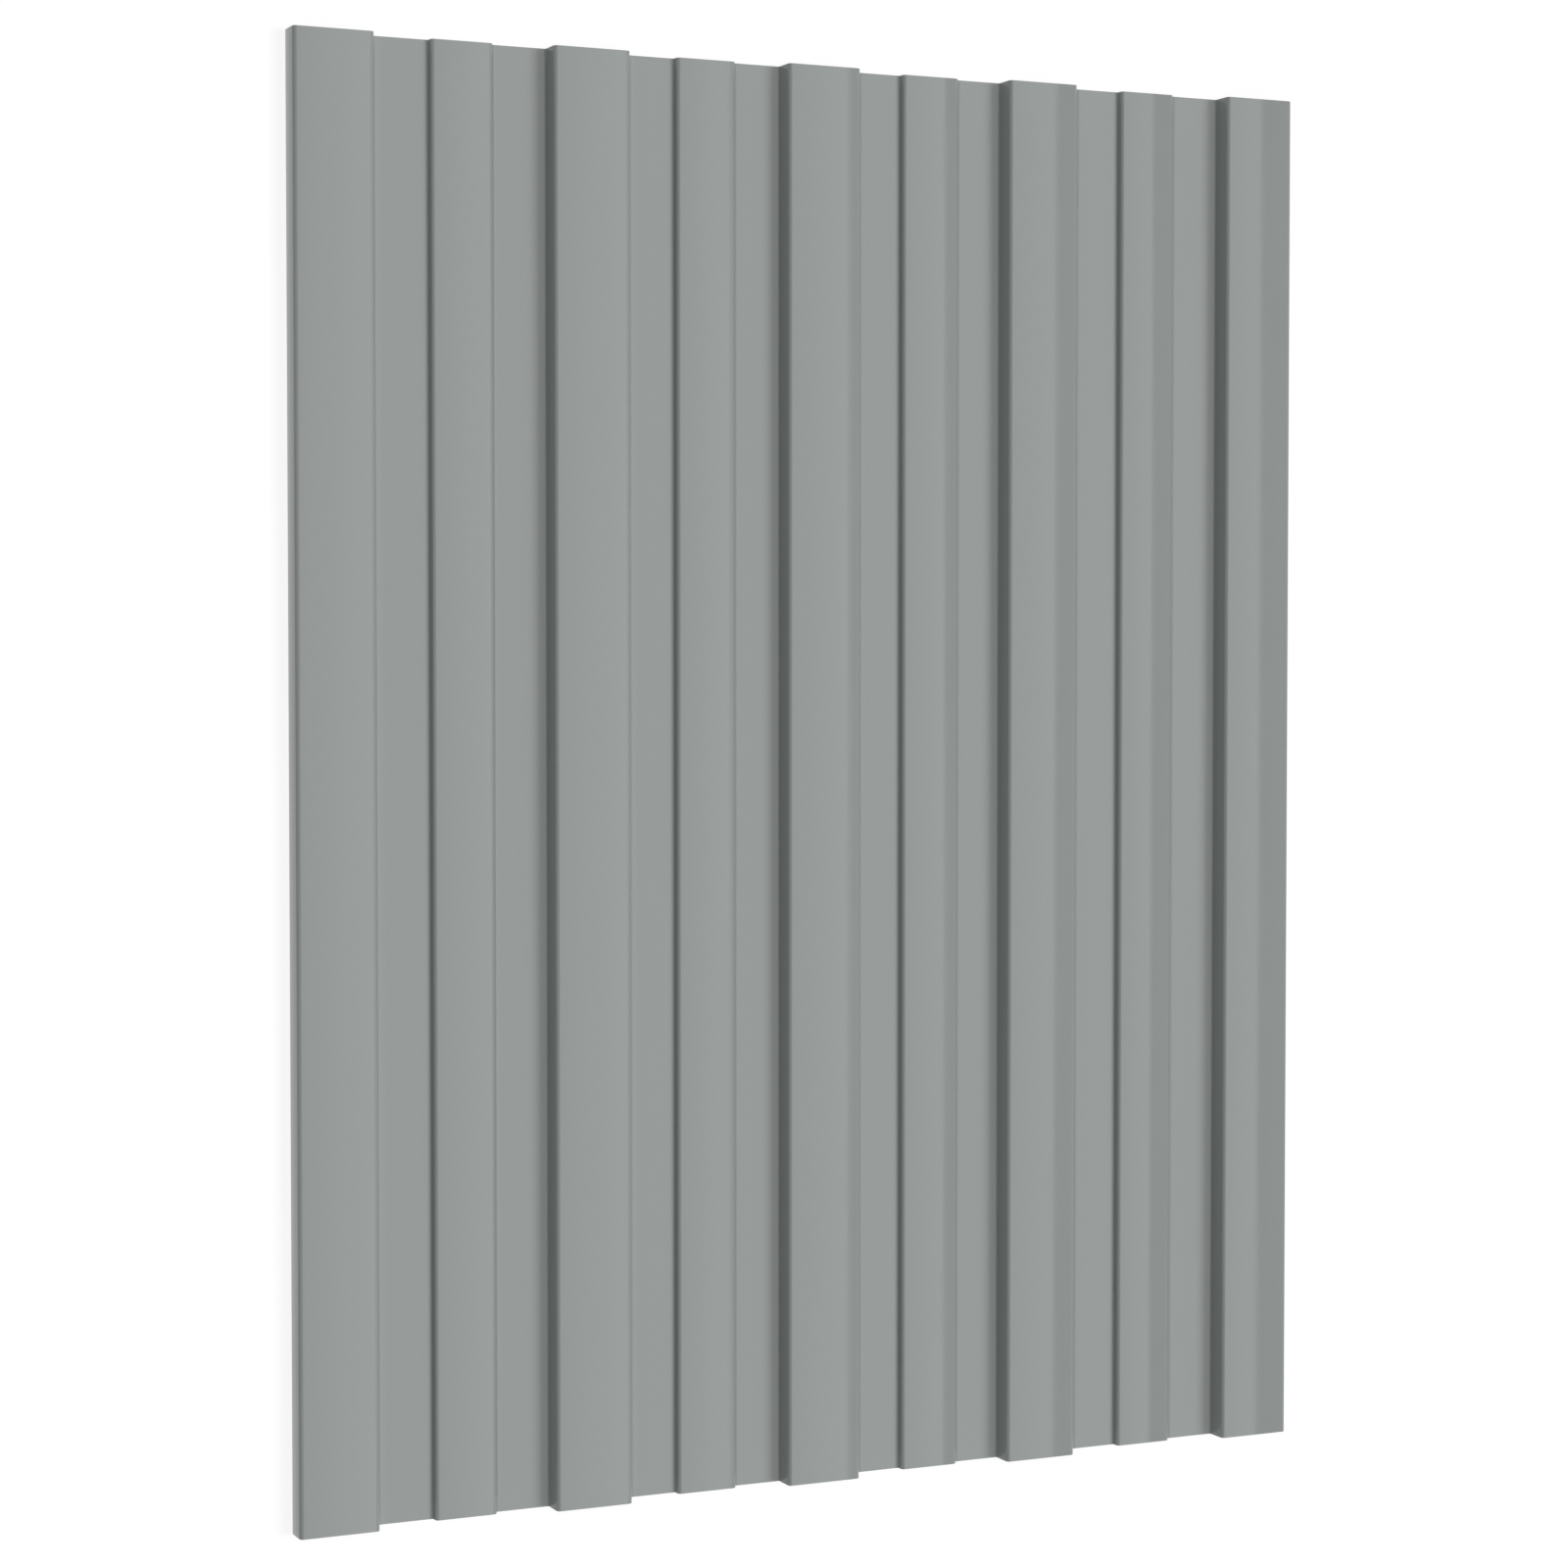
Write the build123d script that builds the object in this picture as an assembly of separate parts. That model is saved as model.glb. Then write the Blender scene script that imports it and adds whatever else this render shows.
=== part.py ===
# Box-rib roofing sheet: one strip of coated steel, roll-formed across X and sheared to length along Y.
# Millimetres. The sheet lies on the plane Z = 0 with its rib crowns up.
# Widths, heights and bend radii are those of the middle of the sheet's thickness.

import math
import os

from build123d import *

# The strip
sheet_length = 600.0
sheet_thickness = 0.5

# Spacing of the ribs: equal bays inside, and one wider bay beside each edge rib
inner_bay_count = 2
inner_pitch = 101.5
edge_pitch = 106.0

# Tall ribs, one at each edge and between all bays
rib_height = 8.5
rib_crown_width = 31.5

# Low stiffening swages, one in the middle of each bay
swage_height = 3.0
swage_crown_width = 25.0

# Webs lean in from the upright by the draft, so that one sheet nests over the next
web_draft_degrees = 10.0
crown_bend_radius = 1.5
foot_bend_radius = 0.9

# Levels of the middle of the thickness, above the plane that the sheet lies on
draft = math.radians(web_draft_degrees)
valley_level = sheet_thickness / 2
edge_level = sheet_thickness / 2 * math.sin(draft)


def rib_centres():
    """X of each tall rib, from the left edge rib to the right one, about the middle of the sheet."""
    pitches = [edge_pitch] + [inner_pitch] * inner_bay_count + [edge_pitch]
    centres = [-sum(pitches) / 2]
    for pitch in pitches:
        centres.append(centres[-1] + pitch)
    return centres


def raised_corners(centre, crown_width, height):
    """Left foot, two crown corners and right foot of one rib or swage, as sharp corners."""
    crown_reach = crown_width / 2
    foot_reach = crown_reach + height * math.tan(draft)
    crown_level = valley_level + height
    return [
        (centre - foot_reach, valley_level),
        (centre - crown_reach, crown_level),
        (centre + crown_reach, crown_level),
        (centre + foot_reach, valley_level),
    ]


def profile_corners():
    """Corners of the whole section, ending where the outer webs of the edge ribs are cut."""
    ribs = rib_centres()
    corners = raised_corners(ribs[0], rib_crown_width, rib_height)
    for left_rib, right_rib in zip(ribs, ribs[1:]):
        corners += raised_corners((left_rib + right_rib) / 2, swage_crown_width, swage_height)
        corners += raised_corners(right_rib, rib_crown_width, rib_height)
    edge_overhang = (valley_level - edge_level) * math.tan(draft)
    corners[0] = (corners[0][0] - edge_overhang, edge_level)
    corners[-1] = (corners[-1][0] + edge_overhang, edge_level)
    return corners


def bend_radii(corners):
    """One radius for each corner between the two ends: small at a foot, larger at a crown."""
    return [
        crown_bend_radius if level > valley_level else foot_bend_radius
        for across, level in corners[1:-1]
    ]


def build_sheet():
    """The bent middle line, given the sheet's thickness, drawn out along the sheet's length."""
    corners = profile_corners()
    with BuildPart() as sheet:
        with BuildSketch(Plane.XZ):
            with BuildLine():
                FilletPolyline(*corners, radius=bend_radii(corners))
            trace(line_width=sheet_thickness)
        extrude(amount=sheet_length / 2, both=True)
    return sheet.part


os.makedirs("parts", exist_ok=True)
export_step(build_sheet(), "parts/profiled_sheet.step")
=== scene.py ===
import math

import bmesh
import bpy
from mathutils import Euler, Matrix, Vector


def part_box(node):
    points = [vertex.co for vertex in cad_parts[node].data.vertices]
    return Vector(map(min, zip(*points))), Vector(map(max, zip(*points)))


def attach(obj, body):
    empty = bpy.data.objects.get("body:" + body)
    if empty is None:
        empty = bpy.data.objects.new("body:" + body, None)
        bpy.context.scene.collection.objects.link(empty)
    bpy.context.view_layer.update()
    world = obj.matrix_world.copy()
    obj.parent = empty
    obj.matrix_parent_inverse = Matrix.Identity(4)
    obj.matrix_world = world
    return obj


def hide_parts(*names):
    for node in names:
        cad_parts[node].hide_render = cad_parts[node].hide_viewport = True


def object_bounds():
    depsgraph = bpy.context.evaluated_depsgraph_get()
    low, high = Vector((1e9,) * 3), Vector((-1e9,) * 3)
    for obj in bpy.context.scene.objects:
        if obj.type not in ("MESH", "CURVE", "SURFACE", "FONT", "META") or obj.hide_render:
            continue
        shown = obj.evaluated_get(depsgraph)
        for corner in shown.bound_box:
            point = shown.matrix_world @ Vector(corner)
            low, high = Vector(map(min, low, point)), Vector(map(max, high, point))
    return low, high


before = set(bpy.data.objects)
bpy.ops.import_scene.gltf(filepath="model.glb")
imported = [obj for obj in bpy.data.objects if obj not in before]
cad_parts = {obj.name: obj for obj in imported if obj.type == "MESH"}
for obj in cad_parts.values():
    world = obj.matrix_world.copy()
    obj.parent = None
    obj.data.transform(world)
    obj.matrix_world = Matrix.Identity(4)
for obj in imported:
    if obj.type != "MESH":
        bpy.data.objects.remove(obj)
cad_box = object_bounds()

# Section of the sheet, in metres, as the solid has it: widths, heights and radii at mid-thickness
SHEET_THICKNESS = 0.0005
INNER_BAY_COUNT = 2
INNER_PITCH = 0.1015
EDGE_PITCH = 0.106
RIB_HEIGHT = 0.0085
RIB_CROWN_WIDTH = 0.0315
SWAGE_HEIGHT = 0.003
SWAGE_CROWN_WIDTH = 0.025
WEB_DRAFT = math.radians(10.0)
CROWN_BEND_RADIUS = 0.0015
FOOT_BEND_RADIUS = 0.0009

# Facets round each bend of the shown mesh
CROWN_BEND_STEPS = 10
FOOT_BEND_STEPS = 6

# Shading of the bends, as shares of a bend's turn: how far a crown bend's soft shading leads into
# the flats beside it, and how far a foot bend's shading stands off the valley, so that the fold
# looks crisp
CROWN_LEAD_SHARE = 1 / 12
FOOT_FOLD_SHARE = 1 / 4

# How far a valley's shading leans towards a foot bend, as a share of the bend's turn, and how long
# the run up to the bend is, as a share of the height of its rib or swage
FOOT_EASE_SHARE = 0.12
FOOT_RUN_UP_SHARE = 0.45

# How much steeper the outer webs are shaded at their cut edges
EDGE_LEAN = math.radians(9.0)

# Height of the middle line in the valleys and at the cut edges of the outer webs
HALF_THICKNESS = SHEET_THICKNESS / 2
VALLEY_LEVEL = HALF_THICKNESS
EDGE_LEVEL = HALF_THICKNESS * math.sin(WEB_DRAFT)

# Places in a pair of section rows, and the place of the cut steel among the sheet's materials
UPPER = 0
LOWER = 1
CUT_STEEL_PLACE = 1

# Camera: the picture's focal length and principal point, and the place that they give it
PICTURE_SIZE = 1600.0
FOCAL_LENGTH_PIXELS = 2829.0
PRINCIPAL_ROW = 736.7
SENSOR_WIDTH_MM = 36.0
CAMERA_PLACE = (-0.4181, 0.0562, 1.1041)
CAMERA_YAW = math.radians(20.053)
CAMERA_PITCH = math.radians(1.568)

# Light: a soft key from the right, a wide softbox overhead for the sheen, an even fill, and the
# strength at which the background shows white. The softbox's radiance changes across its width,
# from the first of its two shares to the second
KEY_ANGLE = math.radians(39.0)
KEY_SPREAD = math.radians(24.0)
KEY_LEVEL = 0.382
PANEL_HEIGHT = 12.0
PANEL_LEFT_ANGLE = math.radians(-6.0)
PANEL_RIGHT_ANGLE = math.radians(31.5)
PANEL_LENGTH = 40.0
PANEL_RADIANCE = 1.4
PANEL_FADE_SHARES = (0.88, 1.17)
FILL_STRENGTH = 0.388
BACKGROUND_STRENGTH = 1.0

# Floor: its size, its place, its glow, the width over which the glow fades out at the sheet's
# outline, which paints shade on the floor under the sheet, and the share of the glow that lights
# the sheet
FLOOR_HALF_SIZE = 30.0
FLOOR_DROP = 0.0002
FLOOR_GLOW = 0.85
PAINTED_SHADE_RAMP_WIDTH = 0.006
GLOW_LIGHT_SHARE = 0.35

# Colours, linear
COAT_COLOUR = (0.288, 0.312, 0.306, 1.0)
COAT_LIGHT_SPOT = (0.296, 0.321, 0.314, 1.0)
CUT_STEEL_COLOUR = (0.46, 0.47, 0.48, 1.0)
FLOOR_PAINT = (0.21, 0.21, 0.21, 1.0)
WHITE = (1.0, 1.0, 1.0, 1.0)

# Fine detail of the surfaces: features per metre, noise detail, roughness and depth of the grain
GRAIN_PER_METRE = 1400.0
GRAIN_DETAIL = 2.0
GRAIN_DEPTH = 0.0001
GRAIN_BUMP_SHARE = 0.05
CLOUDS_PER_METRE = 45.0
CLOUD_DETAIL = 3.0
COAT_ROUGHNESS_RANGE = (0.09, 0.12)
CUT_GRAIN_PER_METRE = 900.0
CUT_GRAIN_DETAIL = 2.0
CUT_ROUGHNESS_RANGE = (0.35, 0.5)

# Ranges of node values: where most of a noise lies, and from none to all
NOISE_RANGE = (0.3, 0.7)
UNIT_RANGE = (0.0, 1.0)


# The sheet's section
def rib_centres():
    """X of each tall rib, from the left edge rib to the right one."""
    pitches = [EDGE_PITCH] + [INNER_PITCH] * INNER_BAY_COUNT + [EDGE_PITCH]
    centres = [-sum(pitches) / 2]
    for pitch in pitches:
        centres.append(centres[-1] + pitch)
    return centres


def raised_corners(centre, crown_width, height):
    """Left foot, two crown corners and right foot of one rib or swage, as sharp corners."""
    crown_reach = crown_width / 2
    foot_reach = crown_reach + height * math.tan(WEB_DRAFT)
    crown_level = VALLEY_LEVEL + height
    return [
        (centre - foot_reach, VALLEY_LEVEL),
        (centre - crown_reach, crown_level),
        (centre + crown_reach, crown_level),
        (centre + foot_reach, VALLEY_LEVEL),
    ]


def profile_corners():
    """Corners of the whole section, ending where the outer webs of the edge ribs are cut."""
    ribs = rib_centres()
    corners = raised_corners(ribs[0], RIB_CROWN_WIDTH, RIB_HEIGHT)
    for left_rib, right_rib in zip(ribs, ribs[1:]):
        corners += raised_corners((left_rib + right_rib) / 2, SWAGE_CROWN_WIDTH, SWAGE_HEIGHT)
        corners += raised_corners(right_rib, RIB_CROWN_WIDTH, RIB_HEIGHT)
    edge_overhang = (VALLEY_LEVEL - EDGE_LEVEL) * math.tan(WEB_DRAFT)
    corners[0] = (corners[0][0] - edge_overhang, EDGE_LEVEL)
    corners[-1] = (corners[-1][0] + edge_overhang, EDGE_LEVEL)
    return corners


def heading(start, end):
    """Direction of one straight of the section, as an angle from +X towards +Z."""
    return math.atan2(end[1] - start[1], end[0] - start[0])


def upper_side(angle):
    """Direction that the sheet's upper side faces where the section runs at an angle."""
    return Vector((-math.sin(angle), 0.0, math.cos(angle)))


def station(x, z, angle, shade_angle):
    """One point of the middle line, its angle, and the shading angles of the faces beside it."""
    return {"x": x, "z": z, "angle": angle, "shade_before": shade_angle, "shade_after": shade_angle}


def shaded_shares(at_crown, from_valley):
    """Where the shading starts and ends round a bend, as shares of its turn."""
    if at_crown:
        return CROWN_LEAD_SHARE, 1 - CROWN_LEAD_SHARE
    if from_valley:
        return FOOT_FOLD_SHARE, 1.0
    return 0.0, 1 - FOOT_FOLD_SHARE


def ease_valley_end(found, from_valley, run_up, lean):
    """Leans the valley's shading towards a foot bend, from a point added on the flat beside it."""
    if from_valley:
        foot = found[0]
        foot["shade_before"] = foot["angle"] + lean
        found.insert(0, station(foot["x"] - run_up, foot["z"], foot["angle"], foot["angle"]))
    else:
        foot = found[-1]
        foot["shade_after"] = foot["angle"] - lean
        found.append(station(foot["x"] + run_up, foot["z"], foot["angle"], foot["angle"]))


def bend_stations(before, corner, after):
    """Points round one bend: a crown bend is shaded smooth, a foot bend folds off the valley."""
    start_angle = heading(before, corner)
    end_angle = heading(corner, after)
    turn = end_angle - start_angle
    at_crown = corner[1] > VALLEY_LEVEL
    from_valley = abs(start_angle) < abs(end_angle)
    first_share, last_share = shaded_shares(at_crown, from_valley)
    radius = CROWN_BEND_RADIUS if at_crown else FOOT_BEND_RADIUS
    steps = CROWN_BEND_STEPS if at_crown else FOOT_BEND_STEPS
    side = math.copysign(1.0, turn)
    tangent = radius * math.tan(abs(turn) / 2)
    middle_x = corner[0] - tangent * math.cos(start_angle) - side * radius * math.sin(start_angle)
    middle_z = corner[1] - tangent * math.sin(start_angle) + side * radius * math.cos(start_angle)
    found = []
    for step in range(steps + 1):
        angle = start_angle + turn * step / steps
        shade_angle = start_angle + turn * (first_share + (last_share - first_share) * step / steps)
        x = middle_x + side * radius * math.sin(angle)
        z = middle_z - side * radius * math.cos(angle)
        found.append(station(x, z, angle, shade_angle))
    if not at_crown:
        found[0]["shade_before"] = start_angle
        found[-1]["shade_after"] = end_angle
        height = max(before[1], after[1]) - corner[1]
        ease_valley_end(found, from_valley, height * FOOT_RUN_UP_SHARE, turn * FOOT_EASE_SHARE)
    return found


def section_stations():
    """The whole middle line, from the cut left edge to the cut right edge."""
    corners = profile_corners()
    first_angle = heading(corners[0], corners[1])
    last_angle = heading(corners[-2], corners[-1])
    found = [station(*corners[0], first_angle, first_angle + EDGE_LEAN)]
    for before, corner, after in zip(corners, corners[1:], corners[2:]):
        found += bend_stations(before, corner, after)
    found[1]["shade_before"] = first_angle
    found[-1]["shade_after"] = last_angle
    found.append(station(*corners[-1], last_angle, last_angle - EDGE_LEAN))
    return found


# The sheet's mesh
def add_section_row(mesh, stations, y):
    """Upper and lower points of the section at one place along the sheet."""
    upper = []
    lower = []
    for point in stations:
        middle = Vector((point["x"], y, point["z"]))
        offset = upper_side(point["angle"]) * HALF_THICKNESS
        upper.append(mesh.verts.new(middle + offset))
        lower.append(mesh.verts.new(middle - offset))
    return upper, lower


def add_skin(mesh, stations, near, far):
    """Upper and lower faces between two rows of the section: returns their shading normals."""
    normals = []
    for index in range(len(stations) - 1):
        left_normal = upper_side(stations[index]["shade_after"])
        right_normal = upper_side(stations[index + 1]["shade_before"])
        for row, order in ((UPPER, 1), (LOWER, -1)):
            corners = [near[row][index], near[row][index + 1], far[row][index + 1], far[row][index]]
            shades = [left_normal, right_normal, right_normal, left_normal]
            face = mesh.faces.new(corners[::order])
            face.smooth = True
            normals += [shade * order for shade in shades[::order]]
    for index, point in enumerate(stations):
        if point["shade_before"] != point["shade_after"]:
            for row in (UPPER, LOWER):
                mesh.edges.get((near[row][index], far[row][index])).smooth = False
    return normals


def add_cut_faces(mesh, stations, near, far):
    """Sheared ends and slit edges, with sharp borders: returns zero normals, which stay flat."""
    last = len(stations) - 1
    faces = []
    for index in range(last):
        for (upper, lower), order in ((near, 1), (far, -1)):
            corners = [lower[index], lower[index + 1], upper[index + 1], upper[index]]
            faces.append(mesh.faces.new(corners[::order]))
    for index, order in ((0, 1), (last, -1)):
        corners = [near[UPPER][index], far[UPPER][index], far[LOWER][index], near[LOWER][index]]
        faces.append(mesh.faces.new(corners[::order]))
    for face in faces:
        face.material_index = CUT_STEEL_PLACE
        for edge in face.edges:
            edge.smooth = False
    return [Vector() for face in faces for corner in face.verts]


def build_sheet(coat, cut_steel):
    """The shown sheet: the solid's own section and length, with soft shading over its bends."""
    low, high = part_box("profiled_sheet")
    stations = section_stations()
    mesh = bmesh.new()
    near = add_section_row(mesh, stations, low.y)
    far = add_section_row(mesh, stations, high.y)
    normals = add_skin(mesh, stations, near, far)
    normals += add_cut_faces(mesh, stations, near, far)
    data = bpy.data.meshes.new("coated_sheet")
    mesh.to_mesh(data)
    mesh.free()
    data.normals_split_custom_set(normals)
    data.materials.append(coat)
    data.materials.append(cut_steel)
    sheet = bpy.data.objects.new("coated_sheet", data)
    bpy.context.scene.collection.objects.link(sheet)
    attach(sheet, "root")
    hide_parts("profiled_sheet")


# Materials
def new_material(name):
    """A new node material: returns it, its nodes, its links and its shader."""
    material = bpy.data.materials.new(name)
    material.use_nodes = True
    nodes = material.node_tree.nodes
    shader = nodes["Principled BSDF"]
    return material, nodes, material.node_tree.links, shader


def noise(nodes, links, coordinates, scale, detail):
    """A noise texture in object coordinates, so that its scale is in features per metre."""
    texture = nodes.new("ShaderNodeTexNoise")
    texture.inputs["Scale"].default_value = scale
    texture.inputs["Detail"].default_value = detail
    links.new(coordinates, texture.inputs["Vector"])
    return texture.outputs["Fac"]


def map_range(nodes, links, value, low, high, source=NOISE_RANGE):
    """Spreads a source range, by default most of a noise, over the range from low to high."""
    node = nodes.new("ShaderNodeMapRange")
    node.inputs["From Min"].default_value = source[0]
    node.inputs["From Max"].default_value = source[1]
    node.inputs["To Min"].default_value = low
    node.inputs["To Max"].default_value = high
    links.new(value, node.inputs["Value"])
    return node.outputs["Result"]


def coat_material():
    """Satin grey baked coating: even colour with a fine grain and a slight orange peel."""
    material, nodes, links, shader = new_material("grey_coating")
    coordinates = nodes.new("ShaderNodeTexCoord").outputs["Object"]
    grain = noise(nodes, links, coordinates, GRAIN_PER_METRE, GRAIN_DETAIL)
    clouds = noise(nodes, links, coordinates, CLOUDS_PER_METRE, CLOUD_DETAIL)
    blend = nodes.new("ShaderNodeMix")
    blend.data_type = "RGBA"
    blend.inputs["A"].default_value = COAT_COLOUR
    blend.inputs["B"].default_value = COAT_LIGHT_SPOT
    links.new(map_range(nodes, links, grain, *UNIT_RANGE), blend.inputs["Factor"])
    links.new(blend.outputs["Result"], shader.inputs["Base Color"])
    links.new(map_range(nodes, links, clouds, *COAT_ROUGHNESS_RANGE), shader.inputs["Roughness"])
    bump = nodes.new("ShaderNodeBump")
    bump.inputs["Strength"].default_value = GRAIN_BUMP_SHARE
    bump.inputs["Distance"].default_value = GRAIN_DEPTH
    links.new(grain, bump.inputs["Height"])
    links.new(bump.outputs["Normal"], shader.inputs["Normal"])
    return material


def cut_steel_material():
    """Bare sheared steel of the cut edges."""
    material, nodes, links, shader = new_material("cut_steel")
    coordinates = nodes.new("ShaderNodeTexCoord").outputs["Object"]
    grain = noise(nodes, links, coordinates, CUT_GRAIN_PER_METRE, CUT_GRAIN_DETAIL)
    shader.inputs["Base Color"].default_value = CUT_STEEL_COLOUR
    shader.inputs["Metallic"].default_value = 1.0
    links.new(map_range(nodes, links, grain, *CUT_ROUGHNESS_RANGE), shader.inputs["Roughness"])
    return material


def reckon(nodes, links, operation, *values):
    """A math node on one or two values."""
    node = nodes.new("ShaderNodeMath")
    node.operation = operation
    for value, socket in zip(values, node.inputs):
        links.new(value, socket)
    return node.outputs["Value"]


def seen_rays(nodes, links):
    """1 for rays that show the background itself: camera, glossy and transmission rays."""
    path = nodes.new("ShaderNodeLightPath")
    total = path.outputs["Is Camera Ray"]
    for name in ("Is Glossy Ray", "Is Transmission Ray"):
        total = reckon(nodes, links, "MAXIMUM", total, path.outputs[name])
    return total


def floor_material():
    """Grey paint with a white glow, which makes the floor pale and its shadows soft. The glow fades
    out under the sheet, which paints shade on the floor there, and only a share of it lights the
    sheet."""
    material = bpy.data.materials.new("studio_floor")
    material.use_nodes = True
    nodes = material.node_tree.nodes
    links = material.node_tree.links
    nodes.clear()
    output = nodes.new("ShaderNodeOutputMaterial")
    paint = nodes.new("ShaderNodeBsdfDiffuse")
    paint.inputs["Color"].default_value = FLOOR_PAINT
    glow = nodes.new("ShaderNodeEmission")
    glow.inputs["Color"].default_value = WHITE
    place = nodes.new("ShaderNodeSeparateXYZ")
    links.new(nodes.new("ShaderNodeTexCoord").outputs["Object"], place.inputs["Vector"])
    levels = []
    # Painted shade: the glow fades to none within the sheet's outline, so the floor under the sheet
    # stays dark
    for axis, reach in (("X", cad_box[1].x), ("Y", cad_box[1].y)):
        distance = reckon(nodes, links, "ABSOLUTE", place.outputs[axis])
        fade_range = (reach - PAINTED_SHADE_RAMP_WIDTH, reach)
        levels.append(map_range(nodes, links, distance, 0.0, FLOOR_GLOW, fade_range))
    level = reckon(nodes, links, "MAXIMUM", *levels)
    share = map_range(nodes, links, seen_rays(nodes, links), GLOW_LIGHT_SHARE, 1.0, UNIT_RANGE)
    links.new(reckon(nodes, links, "MULTIPLY", level, share), glow.inputs["Strength"])
    both = nodes.new("ShaderNodeAddShader")
    links.new(paint.outputs["BSDF"], both.inputs[0])
    links.new(glow.outputs["Emission"], both.inputs[1])
    links.new(both.outputs["Shader"], output.inputs["Surface"])
    return material


# The stage
def build_floor():
    """A wide plane just under the sheet."""
    half = FLOOR_HALF_SIZE
    data = bpy.data.meshes.new("studio_floor")
    outline = [(-half, -half), (half, -half), (half, half), (-half, half)]
    corners = [(x, y, -FLOOR_DROP) for x, y in outline]
    data.from_pydata(corners, [], [(0, 1, 2, 3)])
    data.materials.append(floor_material())
    floor = bpy.data.objects.new("studio_floor", data)
    bpy.context.scene.collection.objects.link(floor)


def build_world():
    """White to look at, and a weak even fill as light."""
    world = bpy.data.worlds.new("studio")
    world.use_nodes = True
    nodes = world.node_tree.nodes
    links = world.node_tree.links
    nodes.clear()
    output = nodes.new("ShaderNodeOutputWorld")
    fill = nodes.new("ShaderNodeBackground")
    fill.inputs["Color"].default_value = WHITE
    fill.inputs["Strength"].default_value = FILL_STRENGTH
    shown = nodes.new("ShaderNodeBackground")
    shown.inputs["Color"].default_value = WHITE
    shown.inputs["Strength"].default_value = BACKGROUND_STRENGTH
    choice = nodes.new("ShaderNodeMixShader")
    links.new(seen_rays(nodes, links), choice.inputs["Fac"])
    links.new(fill.outputs["Background"], choice.inputs[1])
    links.new(shown.outputs["Background"], choice.inputs[2])
    links.new(choice.outputs["Shader"], output.inputs["Surface"])
    bpy.context.scene.world = world


def build_key():
    """Soft light from the right. It lights the coating but has no highlight in it."""
    data = bpy.data.lights.new("key", "SUN")
    data.angle = KEY_SPREAD
    data.energy = KEY_LEVEL * math.pi / math.cos(KEY_ANGLE)
    key = bpy.data.objects.new("key", data)
    key.rotation_euler = (0.0, KEY_ANGLE, 0.0)
    key.visible_glossy = False
    bpy.context.scene.collection.objects.link(key)


def build_panel():
    """The softbox of the sheen, its edges set by the angles at which the sheet sees them."""
    left = PANEL_HEIGHT * math.tan(PANEL_LEFT_ANGLE)
    right = PANEL_HEIGHT * math.tan(PANEL_RIGHT_ANGLE)
    data = bpy.data.lights.new("panel", "AREA")
    data.shape = "RECTANGLE"
    data.size = right - left
    data.size_y = PANEL_LENGTH
    data.energy = PANEL_RADIANCE * math.pi * data.size * data.size_y
    data.use_nodes = True
    nodes = data.node_tree.nodes
    links = data.node_tree.links
    place = nodes.new("ShaderNodeSeparateXYZ")
    links.new(nodes.new("ShaderNodeNewGeometry").outputs["Parametric"], place.inputs["Vector"])
    fade = map_range(nodes, links, place.outputs["X"], *PANEL_FADE_SHARES, UNIT_RANGE)
    links.new(fade, nodes["Emission"].inputs["Strength"])
    panel = bpy.data.objects.new("panel", data)
    panel.location = ((left + right) / 2, 0.0, PANEL_HEIGHT)
    panel.visible_diffuse = False
    bpy.context.scene.collection.objects.link(panel)


def build_camera():
    """Looks down on the sheet from the left, as the picture does."""
    data = bpy.data.cameras.new("camera")
    data.sensor_width = SENSOR_WIDTH_MM
    data.lens = SENSOR_WIDTH_MM * FOCAL_LENGTH_PIXELS / PICTURE_SIZE
    data.shift_y = (PRINCIPAL_ROW - PICTURE_SIZE / 2) / PICTURE_SIZE
    camera = bpy.data.objects.new("camera", data)
    camera.location = CAMERA_PLACE
    yaw = Euler((0.0, -CAMERA_YAW, 0.0)).to_matrix()
    pitch = Euler((-CAMERA_PITCH, 0.0, 0.0)).to_matrix()
    camera.rotation_euler = (yaw @ pitch).to_euler()
    bpy.context.scene.collection.objects.link(camera)
    bpy.context.scene.camera = camera


build_sheet(coat_material(), cut_steel_material())
build_floor()
build_world()
build_key()
build_panel()
build_camera()
bpy.context.scene.view_settings.view_transform = "Standard"
